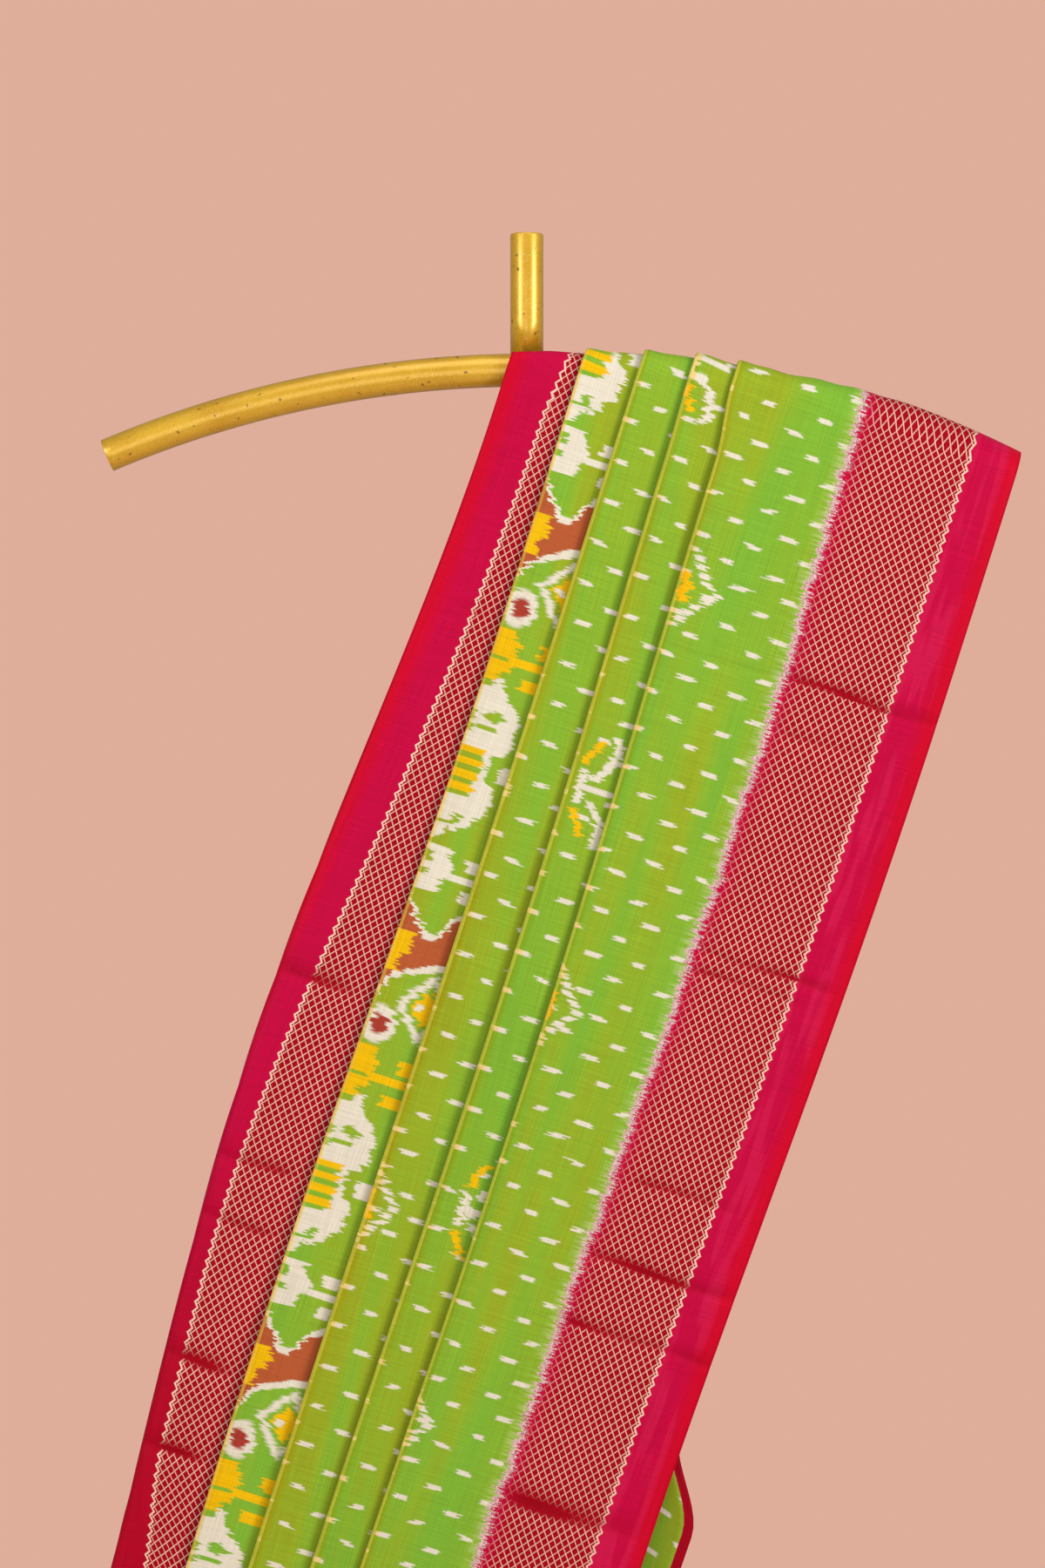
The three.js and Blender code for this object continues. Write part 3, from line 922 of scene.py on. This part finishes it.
BROWN_ZONE = (
    (0, 178, 270), (20, 184, 262), (23.5, 189, 255), (30, 198, 246), (37, 206, 241.5), (40, 210, 240),
    (48.5, 210, 236.5), (53, 203, 234), (58.5, 192, 232), (70, 186, 230),
)


# Motifs between the dashes: place across the flat cloth, and down it
LOW_CHEVRON = (FOLD_PLACES[1] - 17, 658)
HIGH_CHEVRON = (FOLD_PLACES[3] + 33.7, 125)
BARBED_ARROW = (FOLD_PLACES[2] - 5, 298)
CHEVRON_STEP = 6.2
CHEVRON_SLOPE = 0.85
BEFORE = -50
BARB = ((0, 12), (10.3, 15), (17, 19), (24, 24), (31, 26.7), (37.7, 26), (44, 23.5))
BARB_LENGTH = 50
BARB_WIDTH = 40


def weft_shift(finish, u, v):
    """Sideways slip of the dyed weft threads, singly and in the bundles they were tied in."""
    single = finish.noise(u / 45, (v / WEFT).floor() * 5.17, 3.1)
    bundle = finish.noise(u / 60, (v / WEFT_GROUP).floor() * 4.31, 9.7)
    return (single - 0.5) * 11 + (bundle - 0.5) * 9


def dash_rows(finish, u, v):
    """Cream dashes in a half-drop grid."""
    wide, tall = DASH_PITCH
    masks = []
    for drop in (0, 0.5):
        x = u / wide + drop
        y = v / tall + drop
        slip, lift, size = finish.scatter(x.floor() + 40 * drop, y.floor())
        from_middle = (x.fract() - 0.5) * wide + (slip - 0.5) * 7
        from_row = (y.fract() - 0.5) * tall + (lift - 0.5) * 3
        half = size * 2.3 + 4.2
        masks.append(from_middle.span(0 - half, half, 2.2) * from_row.span(-1.95, 1.95, 0.8))
    return finish.greatest(*masks)


def mirrored_repeat(v, centre):
    """Distance up or down from the nearest repeat of a row of motifs."""
    return abs(((v - centre) / PATTERN_REPEAT + 0.5).fract() - 0.5) * PATTERN_REPEAT


def chevron(u, v, apex, centre):
    """A stepped cream arrowhead with a yellow core."""
    across = u - apex
    off = mirrored_repeat(v, centre)
    steps = abs((off / CHEVRON_STEP).fract() - 0.5).above(0.14, 0.12)
    stroke = (across + off * CHEVRON_SLOPE).span(-4.2, 4.2, 2.2) * off.span(BEFORE, 32, 2) * steps
    core = across.span(-30, -20.5, 2) * off.span(BEFORE, 12, 2)
    return stroke, core


def barbed_arrow(finish, u, v, left, centre):
    """A cream crossbar on a stem, with a curved cream barb and a yellow stroke on each side."""
    across = u - left
    off = mirrored_repeat(v, centre)
    bar = across.span(0, 6.5, 1.8) * off.span(BEFORE, 13.7, 1.5)
    stem = across.span(5, 31, 2) * off.span(BEFORE, 2.4, 1)
    curve = finish.chart(off, BARB, BARB_LENGTH, 0, BARB_WIDTH)[0]
    barb = (across - curve).span(-3.6, 3.6, 2) * off.span(9.5, 44.5, 1.5)
    stroke = (across - off * 0.5 + 6.8).span(-3, 3, 1.8) * off.span(17.5, 38.5, 1.5)
    return finish.greatest(bar, stem, barb), stroke


def animal_band(finish, u, v):
    """Masks of the band of animals: cream, yellow, brown, rust and where the plain dashes stop."""
    across = u - FOLD_PLACES[0]
    down = ((v - ANIMAL_TOP) / PATTERN_REPEAT).fract() * PATTERN_REPEAT
    left, right, _ = finish.chart(down, PALE_ANIMALS, PATTERN_REPEAT, HIDDEN, FAR)

    def blocks(rows):
        return finish.greatest(*[
            across.span(near, far, 2.2) * down.span(top, bottom, 0.9) for near, far, top, bottom in rows
        ])

    def diamond(place, size):
        return abs(across - place[0]) / size[0] + abs(down - place[1]) / size[1]

    eye = diamond(EYE, EYE_SIZE).above(1, 0.35)
    cream = across.span(left, right, 2.4) * eye * (1 - blocks(GREEN_BLOCKS))
    cream = finish.greatest(cream, blocks(PALE_BLOCKS))
    rim_above, rim_below, _ = finish.chart(
        across - HIDDEN, BROWN_ZONE, FAR - HIDDEN, BROWN_TOP, BROWN_BOTTOM,
    )
    brown = down.span(rim_above, rim_below, 2)
    rims = finish.greatest(
        (down - rim_above).span(-3, 2.6, 1.4),
        (down - rim_below).span(-2.6, 3, 1.4) * across.above(-1, 2),
    )
    ring_across = (across - RING[0]) / RING_SIZE[0]
    ring_down = (down - RING[1]) / RING_SIZE[1]
    ring_size = finish.math("SQRT", ring_across * ring_across + ring_down * ring_down)
    ring = 1 - ring_size.above(1, 0.2)
    rust = 1 - ring_size.above(0.52, 0.2)
    lozenge = diamond(LOZENGE, LOZENGE_SIZE)
    lozenge_rim = lozenge.span(0.74, 1.02, 0.16)
    lozenge_core = 1 - lozenge.above(0.52, 0.12)
    near, far, top, bottom = LOZENGE_SPOT
    spot = across.span(near, far, 2) * down.span(top, bottom, 1)
    cream = finish.greatest(cream, rims, ring, lozenge_rim) * (1 - lozenge_core)
    cream = finish.greatest(cream, spot)
    yellow = finish.greatest(blocks(YELLOW_BLOCKS), lozenge_core) * (1 - spot)
    inside = across.span(*BAND_EDGES, 2)
    return cream * inside, yellow * inside, brown * inside, rust * inside, inside


def silk_field(finish, u, v, slipped):
    """The green ground with its dashes and motifs."""
    # Bands of green, lime and olive down the cloth: partly the shot silk's own uneven tone, partly painted
    # sheen where the hanging cloth catches the light
    lengthwise = finish.noise(u / 32, v / 380, 1.3, 1.0)
    crosswise = finish.noise(u / 120, v / 2.1, 5.9, 2.0)
    ground = finish.mix(lengthwise.above(0.46, 0.26), GREEN, LIME)
    ground = finish.mix((lengthwise + crosswise * 0.4).above(0.8, 0.26) * 0.75, ground, OLIVE)

    cream, yellow, brown, rust, band = animal_band(finish, slipped, v)
    masks = [
        chevron(slipped, v, *LOW_CHEVRON),
        barbed_arrow(finish, slipped, v, *BARBED_ARROW),
        chevron(slipped, v, *HIGH_CHEVRON),
    ]
    motif_cream = finish.greatest(*[mask[0] for mask in masks])
    motif_yellow = finish.greatest(*[mask[1] for mask in masks])
    dashes = dash_rows(finish, slipped, v) * (1 - band)
    cream = finish.greatest(cream, motif_cream, dashes)
    yellow = finish.greatest(yellow, motif_yellow)

    colour = finish.mix(brown, ground, BROWN)
    colour = finish.mix(cream, colour, CREAM)
    colour = finish.mix(rust, colour, RUST)
    return finish.mix(yellow, colour, YELLOW)


def zari_lattice(finish, from_selvage, v, outer_edge, inner_edge):
    """Metallic threads woven in diamonds, with a serrated outer edge."""
    rise = from_selvage / LATTICE_WIDTH + v / LATTICE_HEIGHT
    fall = from_selvage / LATTICE_WIDTH - v / LATTICE_HEIGHT
    solid = 1 - abs((rise + 0.5).fract() - 0.5).above(0.07, 0.06)
    broken = 1 - abs((fall + 0.5).fract() - 0.5).above(0.075, 0.06)
    beads = abs((rise * 3).fract() - 0.5).above(0.14, 0.2)
    teeth = abs((v / LATTICE_HEIGHT).fract() - 0.5) * 6
    edge = outer_edge + teeth
    zone = from_selvage.above(edge, 0.8) * (1 - from_selvage.above(inner_edge - 8, 6))
    trim = (from_selvage - edge).span(-0.4, 1.1, 0.7)
    return finish.greatest(solid, broken * (0.45 + beads * 0.55)) * zone, trim, zone


def ikat_silk():
    finish = Finish("ikat_silk")
    flat = finish.node("UVMap", {"uv_map": "flat"}, {}).outputs[0]
    parts = finish.node("SeparateXYZ", {}, {0: flat})
    u = Value(finish, parts.outputs[0]) / MM
    v = Value(finish, parts.outputs[1]) / MM
    from_fold = finish.attribute("from_fold")
    to_cover = finish.attribute("to_cover")
    # Painted shade for the creases and the back fall's selvage strip
    crease = finish.attribute("crease")
    slip = weft_shift(finish, u, v)
    from_selvage = finish.math("MINIMUM", u, FLAT_WIDTH - u)

    field = silk_field(finish, u, v, u + slip)

    # Border: plain band, lattice, and the ragged line where the wefts interlock with the field
    wander = finish.noise(0.5, v / 60, 3.9, 1.0) - 0.5
    ragged_line = RAGGED_LINE + wander * 10 + (1 - v.above(60, 130)) * WIDER_AT_BAR
    left = 1 - u.above(FLAT_WIDTH / 2, 1)
    outer_edge = PLAIN_BAND + (1 - v.above(0, 60)) * left * WIDER_AT_BAR
    lattice, trim, zone = zari_lattice(finish, from_selvage, v, outer_edge, ragged_line)
    cloudy = finish.noise(u / 30, v / 160, 2.7, 2.0)
    band = finish.mix((from_selvage / 14).above(1.2 - cloudy * 0.6, 0.9), CRIMSON, MAGENTA)
    # Painted sheen: lighter pink patches on the right plain band, for the silk's shine
    painted_sheen_patches = finish.noise(u / 8, v / 75, 6.6, 1.0).above(0.56, 0.1) * from_selvage.above(10, 4)
    band = finish.mix(painted_sheen_patches * (1 - left) * 0.3, band, PAINTED_SHEEN_PINK)
    band = finish.mix(v.above(720, 260) * left * 0.8, band, DEEP_CRIMSON)
    border = finish.mix(zone, band, LATTICE_GROUND)
    # Painted shade: the border turns deep crimson in the creases
    border = finish.mix(crease * 0.45, border, DEEP_CRIMSON)
    # Painted loss of glint: the zari threads fade out in the creases
    thread = finish.greatest(lattice * 0.84, trim) * (1 - crease.above(0.5, 0.6))
    border = finish.mix(thread, border, LATTICE_THREAD)

    inwards = from_selvage - ragged_line
    spikes = finish.noise(u / 70, (v / (WEFT * 0.8)).floor() * 6.37, 7.3)
    reach = inwards + (spikes - 0.5) * 11 + slip * 0.2
    specks = finish.noise(u / 1.1, v / 0.9, 4.4).above(0.5, 0.14)
    pink = finish.mix(specks * (0.85 - reach.above(-2, 4) * 0.6), RAGGED_PINK, RAGGED_RED)
    border = finish.mix(inwards.above(-15, 12) * 0.4, border, MAGENTA)
    wisps = finish.noise(u / 40, (v / WEFT).floor() * 3.71, 2.9).above(0.52, 0.16)
    field = finish.mix(wisps * inwards.span(-8, 6, 7) * 0.45, field, WISP)
    colour = finish.mix(reach.above(0, 1.5), border, field)
    colour = finish.mix(reach.span(-5, 0.4, 1.8), colour, pink)

    # Shot silk: painted sheen along the folds for the warp colour seen at grazing angles, a painted
    # highlight on each fold edge, single threads that vary, and painted shade before covers and in the
    # creases
    on_field = inwards.above(4, 3)
    fold_sheen_width = 1.2 + u.above(FOLD_PLACES[0] + TUCK, 1) * 4.3
    painted_fold_sheen = (1 - from_fold.above(fold_sheen_width, 3)) * on_field
    colour = finish.mix(painted_fold_sheen * 0.8, colour, PAINTED_FOLD_SHEEN, "MULTIPLY")
    # Painted highlight: a bright line along each fold edge
    colour = finish.mix((1 - from_fold.above(0.6, 1)) * on_field * 0.4, colour, FOLD_EDGE_HIGHLIGHT)
    streaks = finish.noise(u / 38, v / 0.75, 6.1, 1.0) * 0.45 + finish.noise(u / 0.7, v / 60, 8.2) * 0.3
    # Painted shade on each panel just before the next pleat covers it; the thread streaks are the silk's
    # own tone
    painted_cover_shade = 1 - to_cover.above(2.5, 8)
    # Painted shade also darkens the creases, with a darker line along them
    shade = (streaks + 0.625) * (1 - crease * 0.12 - crease.above(0.9, 0.2) * 0.16) * (1 - painted_cover_shade * 0.5)
    grey = finish.node("CombineColor", {}, {0: shade, 1: shade, 2: shade}).outputs[0]
    colour = finish.mix(0.85, colour, grey, "MULTIPLY")
    finish.feed(finish.shader.inputs["Base Color"], colour)

    border_side = 1 - inwards.above(0, 2)
    finish.feed(finish.shader.inputs["Roughness"], SILK_ROUGHNESS - thread * border_side * THREAD_SMOOTHER)
    finish.feed(finish.shader.inputs["Metallic"], thread * border_side * THREAD_METAL)
    weave = finish.noise(u / 9, v / 0.7, 1.1) + finish.noise(u / 0.7, v / 9, 2.2)
    height = weave * 0.5 + thread * border_side * 0.9
    bump = finish.node("Bump", {}, {
        "Height": height,
        "Strength": WEAVE_STRENGTH,
        "Distance": WEAVE_DEPTH * MM,
    })
    finish.feed(finish.shader.inputs["Normal"], bump.outputs[0])
    finish.shader.inputs["Sheen Weight"].default_value = SILK_SHEEN
    finish.shader.inputs["Sheen Roughness"].default_value = SILK_SHEEN_ROUGHNESS
    finish.shader.inputs["Specular IOR Level"].default_value = SILK_SPECULAR
    return finish.material


def gold_paint():
    finish = Finish("gold_paint")
    spot = finish.node("TexCoord", {}, {}).outputs["Object"]
    speck = finish.node("TexNoise", {}, {"Vector": spot, "Scale": 900.0, "Detail": 2.0}).outputs[0]
    cloud = finish.node("TexNoise", {}, {"Vector": spot, "Scale": 38.0, "Detail": 3.0}).outputs[0]
    speck = Value(finish, speck)
    cloud = Value(finish, cloud)
    colour = finish.mix(cloud.above(0.5, 0.5), GOLD, LIGHT_GOLD)
    colour = finish.mix(speck.above(0.62, 0.2) * 0.5, colour, GOLD_SPECK)
    pits = finish.node("TexNoise", {}, {"Vector": spot, "Scale": 240.0, "Detail": 0.0}).outputs[0]
    colour = finish.mix(Value(finish, pits).above(0.79, 0.04) * 0.7, colour, GOLD_PIT)
    finish.feed(finish.shader.inputs["Base Color"], colour)
    finish.feed(finish.shader.inputs["Roughness"], PAINT_ROUGHNESS + cloud * 0.12)
    bump = finish.node("Bump", {}, {
        "Height": speck,
        "Strength": PAINT_GRAIN_STRENGTH,
        "Distance": PAINT_GRAIN_DEPTH * MM,
    })
    finish.feed(finish.shader.inputs["Normal"], bump.outputs[0])
    finish.shader.inputs["Metallic"].default_value = PAINT_METAL
    finish.shader.inputs["Coat Weight"].default_value = PAINT_COAT
    finish.shader.inputs["Coat Roughness"].default_value = PAINT_COAT_ROUGHNESS
    return finish.material


# Stage, lights and camera

def studio_floor():
    finish = Finish("pale_floor")
    spot = finish.node("TexCoord", {}, {}).outputs["Object"]
    cloud = Value(finish, finish.node("TexNoise", {}, {"Vector": spot, "Scale": 2.0}).outputs[0])
    finish.feed(finish.shader.inputs["Base Color"], finish.mix(cloud, FLOOR, LIGHT_FLOOR))
    finish.shader.inputs["Roughness"].default_value = FLOOR_ROUGHNESS
    radius = FLOOR_RADIUS * MM
    height = cad_box[0][2] - FLOOR_DROP * MM
    turns = [2 * math.pi * side / FLOOR_SIDES for side in range(FLOOR_SIDES)]
    mesh = bpy.data.meshes.new("studio_floor")
    points = [(radius * math.cos(turn), radius * math.sin(turn), height) for turn in turns]
    mesh.from_pydata(points, [], [tuple(range(FLOOR_SIDES))])
    return new_object("studio_floor", mesh, finish.material)


def studio_light(name, place, aim, size, power):
    data = bpy.data.lights.new(name, "AREA")
    data.size = size
    data.energy = power
    lamp = bpy.data.objects.new(name, data)
    bpy.context.scene.collection.objects.link(lamp)
    lamp.location = place
    direction = [end - start for start, end in zip(place, aim)]
    lamp.rotation_euler = Vector(direction).to_track_quat("-Z", "Y").to_euler()


def studio_world():
    world = bpy.data.worlds.new("studio")
    bpy.context.scene.world = world
    world.use_nodes = True
    nodes = world.node_tree.nodes
    links = world.node_tree.links
    seen = nodes["Background"]
    seen.inputs["Color"].default_value = BACKDROP
    soft = nodes.new("ShaderNodeBackground")
    soft.inputs["Color"].default_value = ROOM_LIGHT
    soft.inputs["Strength"].default_value = ROOM_STRENGTH
    chosen = nodes.new("ShaderNodeMixShader")
    rays = nodes.new("ShaderNodeLightPath")
    links.new(rays.outputs["Is Camera Ray"], chosen.inputs[0])
    links.new(soft.outputs[0], chosen.inputs[1])
    links.new(seen.outputs[0], chosen.inputs[2])
    links.new(chosen.outputs[0], nodes["World Output"].inputs[0])


def photo_camera():
    data = bpy.data.cameras.new("photo_camera")
    camera = bpy.data.objects.new("photo_camera", data)
    scene = bpy.context.scene
    scene.collection.objects.link(camera)
    scene.camera = camera
    across = (PHOTO_SIZE[0] / 2 - CROWN_PIXEL[0]) * PHOTO_SCALE
    height = BAR_CROWN_Z - (PHOTO_SIZE[1] / 2 - CROWN_PIXEL[1]) * PHOTO_SCALE
    camera.location = (across * MM, -CAMERA_DISTANCE * MM, height * MM)
    camera.rotation_euler = (math.pi / 2, 0, 0)
    data.sensor_fit = "VERTICAL"
    data.sensor_height = SENSOR
    data.lens = SENSOR * CAMERA_DISTANCE / (PHOTO_SIZE[1] * PHOTO_SCALE)
    scene.view_settings.view_transform = "Standard"


photo_camera()
studio_world()
studio_light("right", (2.1, -1.7, 0.2), (0, 0, -0.55), 0.9, 36)
studio_light("left", (-2.0, -1.9, 0.3), (0, 0, -0.55), 0.9, 27)
studio_light("top", (0, -0.9, 1.5), (0, 0, -0.4), 1.2, 10)
studio_light("front", (-0.3, -3.5, -0.5), (0, 0, -0.4), 1.7, 17)
studio_floor()

silk = ikat_silk()
paint = gold_paint()

cloth = silk_cloth(silk)
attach(cloth, "root")
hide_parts("ikat_cloth")

bar = arched_bar(paint)
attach(bar, "root")
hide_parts("hanger_bar")

stub = upright(paint)
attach(stub, "root")
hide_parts("hanger_upright")
